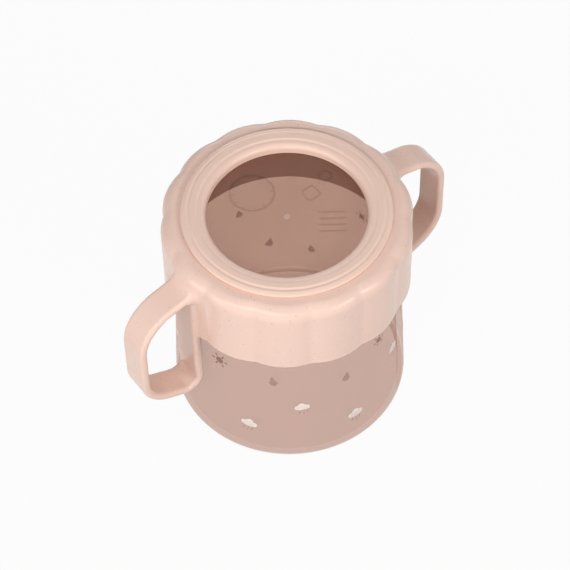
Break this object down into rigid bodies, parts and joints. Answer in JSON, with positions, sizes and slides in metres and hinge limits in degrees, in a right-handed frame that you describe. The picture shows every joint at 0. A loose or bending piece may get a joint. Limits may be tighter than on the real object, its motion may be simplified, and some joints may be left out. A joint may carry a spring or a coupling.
{
  "type": "toddler cup",
  "caption": "Tapered toddler cup stood on its mouth, base up, with a scalloped handle ring whose strap handles reach out on both sides, and a soft anti-slip ring seated over the base.",
  "frame": {"origin": "centre of the circle that the mouth rim rests on, at the lowest point of the part", "axes": "+Z along the cup's axis from the mouth up to the base, as the cup stands in the picture; the two handles lie along +X and -X"},
  "size_m": [0.1254, 0.0816, 0.0853],
  "materials": {
    "cup_shell": "translucent rose-taupe plastic, softly glossy, with a small print of cream and brown motifs",
    "handle_plastic": "satin peach plastic with fine brown specks",
    "foot_silicone": "smooth peach silicone, satin"
  },
  "bodies": {
    "cup": {"cup": "cup_shell"},
    "handle_ring": {"handle_ring": "handle_plastic"},
    "foot_ring": {"foot_ring": "foot_silicone"}
  },
  "joints": [
    {"name": "handle_ring_slide", "type": "slide", "parent": "cup", "child": "handle_ring", "axis": [0, 0, 1], "range_m": [0, 0.06]},
    {"name": "foot_ring_slide", "type": "slide", "parent": "handle_ring", "child": "foot_ring", "axis": [0, 0, 1], "range_m": [0, 0.01]}
  ]
}
